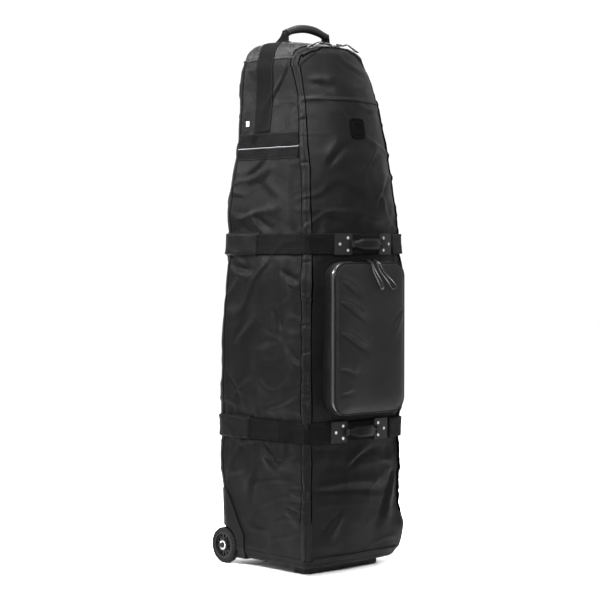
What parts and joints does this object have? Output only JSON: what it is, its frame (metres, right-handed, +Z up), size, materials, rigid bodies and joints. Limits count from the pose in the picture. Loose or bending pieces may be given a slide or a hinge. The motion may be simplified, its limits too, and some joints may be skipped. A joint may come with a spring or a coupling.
{
  "type": "golf travel case",
  "caption": "Tall wheeled soft case for a bag of golf clubs, with a zipped full-height front panel, a zipped front pocket, webbing belts with grab handles and a top handle.",
  "frame": {"origin": "on the floor, below the centre of the bounding box of the case without its cord pulls", "axes": "+Z up, +X to the case's right as seen from the front, -Y out of the front panel, wheels at +Y"},
  "size_m": [0.3372, 0.4252, 1.357],
  "materials": {
    "body_cloth": "matt",
    "front_cloth": "satin",
    "roof_cloth": "satin",
    "base_cloth": "satin",
    "pocket_cloth": "satin",
    "liner": "matt",
    "webbing": "matt",
    "zip_tape": "satin",
    "handle_pad": "matt",
    "tag_white": "matt",
    "cord": "matt",
    "reflective": "satin",
    "board": "matt",
    "moulded_black": "matt",
    "pocket_piping": "satin",
    "badge_rubber": "satin",
    "grip_rubber": "matt",
    "tyre": "matt",
    "hub_black": "satin",
    "slider_metal": "satin",
    "steel": "brushed"
  },
  "bodies": {
    "shell": {"back_panel": "body_cloth", "rear_corner_panels": "body_cloth", "left_side_panel": "body_cloth", "right_side_panel": "body_cloth", "base_panel": "base_cloth", "roof_panel": "roof_cloth", "back_board": "board", "base_board": "board", "hood_padding": "liner", "inner_straps": "webbing", "inner_buckles": "moulded_black", "main_zip_shell_tape": "zip_tape", "upper_belt": "webbing", "lower_belt": "webbing", "belt_sleeves": "webbing", "side_bands": "webbing", "side_webbing": "webbing", "reflective_piping": "reflective", "side_tag": "tag_white", "top_handle_tabs": "webbing", "top_handle_pins": "steel", "left_wheel_housing": "moulded_black", "right_wheel_housing": "moulded_black", "axle_bolts": "steel", "front_foot": "moulded_black"},
    "door": {"front_panel": "front_cloth", "main_zip_door_tape": "zip_tape", "storm_flaps": "body_cloth", "upper_front_belt": "webbing", "lower_front_belt": "webbing", "belt_plates": "moulded_black", "belt_rivets": "steel", "grab_handle_pins": "steel", "front_badge": "badge_rubber", "pocket_gusset": "pocket_cloth", "pocket_zip_tape": "zip_tape"},
    "pocket_lid": {"pocket_lid": "pocket_cloth", "pocket_piping": "pocket_piping"},
    "upper_grab": {"upper_grab_handle": "handle_pad"},
    "lower_grab": {"lower_grab_handle": "handle_pad"},
    "top_handle": {"top_handle_grip": "grip_rubber"},
    "left_wheel": {"left_tyre": "tyre", "left_hub": "hub_black", "left_bearings": "steel"},
    "right_wheel": {"right_tyre": "tyre", "right_hub": "hub_black", "right_bearings": "steel"},
    "pocket_slider_left": {"pocket_slider_left": "slider_metal"},
    "pocket_slider_right": {"pocket_slider_right": "slider_metal"},
    "pocket_pull_left": {"pocket_pull_left": "moulded_black", "pocket_cord_left": "cord"},
    "pocket_pull_right": {"pocket_pull_right": "moulded_black", "pocket_cord_right": "cord"},
    "main_slider_left": {"main_slider_left": "slider_metal"},
    "main_slider_right": {"main_slider_right": "slider_metal"},
    "main_pull_left": {"main_pull_left": "moulded_black", "main_cord_left": "cord"},
    "main_pull_right": {"main_pull_right": "moulded_black", "main_cord_right": "cord"}
  },
  "joints": [
    {"name": "door_hinge", "type": "hinge", "parent": "shell", "child": "door", "pos_m": [0, -0.1555, 0.0418], "axis": [1, 0, 0], "range_deg": [0, 80]},
    {"name": "pocket_lid_hinge", "type": "hinge", "parent": "door", "child": "pocket_lid", "pos_m": [0.1194, -0.1943, 0.5775], "axis": [0, 0, 1], "range_deg": [0, 110]},
    {"name": "upper_handle_tilt", "type": "hinge", "parent": "door", "child": "upper_grab", "pos_m": [0, -0.187, 0.806], "axis": [1, 0, 0], "range_deg": [-30, 30], "stiffness_Nm_per_rad": 0.05},
    {"name": "lower_handle_tilt", "type": "hinge", "parent": "door", "child": "lower_grab", "pos_m": [0, -0.169, 0.349], "axis": [1, 0, 0], "range_deg": [-30, 30], "stiffness_Nm_per_rad": 0.05},
    {"name": "top_handle_tilt", "type": "hinge", "parent": "shell", "child": "top_handle", "pos_m": [0, 0.032, 1.331], "axis": [1, 0, 0], "range_deg": [-40, 40], "stiffness_Nm_per_rad": 0.08},
    {"name": "left_wheel_spin", "type": "hinge", "parent": "shell", "child": "left_wheel", "pos_m": [-0.153, 0.164, 0.045], "axis": [1, 0, 0], "continuous": true},
    {"name": "right_wheel_spin", "type": "hinge", "parent": "shell", "child": "right_wheel", "pos_m": [0.153, 0.164, 0.045], "axis": [1, 0, 0], "continuous": true},
    {"name": "main_slider_left_slide", "type": "slide", "parent": "shell", "child": "main_slider_left", "axis": [-1, 0, 0], "range_m": [0, 0.03]},
    {"name": "main_slider_right_slide", "type": "slide", "parent": "shell", "child": "main_slider_right", "axis": [1, 0, 0], "range_m": [0, 0.03]},
    {"name": "main_pull_left_swing", "type": "hinge", "parent": "main_slider_left", "child": "main_pull_left", "pos_m": [-0.014, -0.07055, 1.29911], "axis": [0, 0.8944, 0.4472], "range_deg": [0, 110]},
    {"name": "main_pull_right_swing", "type": "hinge", "parent": "main_slider_right", "child": "main_pull_right", "pos_m": [0.014, -0.07055, 1.29911], "axis": [0, -0.8944, -0.4472], "range_deg": [0, 110]},
    {"name": "pocket_slider_left_slide", "type": "slide", "parent": "pocket_lid", "child": "pocket_slider_left", "axis": [-1, 0, 0], "range_m": [0, 0.07]},
    {"name": "pocket_slider_right_slide", "type": "slide", "parent": "pocket_lid", "child": "pocket_slider_right", "axis": [1, 0, 0], "range_m": [0, 0.06]},
    {"name": "pocket_pull_left_swing", "type": "hinge", "parent": "pocket_slider_left", "child": "pocket_pull_left", "pos_m": [-0.008, -0.196, 0.7675], "axis": [-1, 0, 0], "range_deg": [0, 110]},
    {"name": "pocket_pull_right_swing", "type": "hinge", "parent": "pocket_slider_right", "child": "pocket_pull_right", "pos_m": [0.014, -0.196, 0.7675], "axis": [-1, 0, 0], "range_deg": [0, 110]}
  ]
}
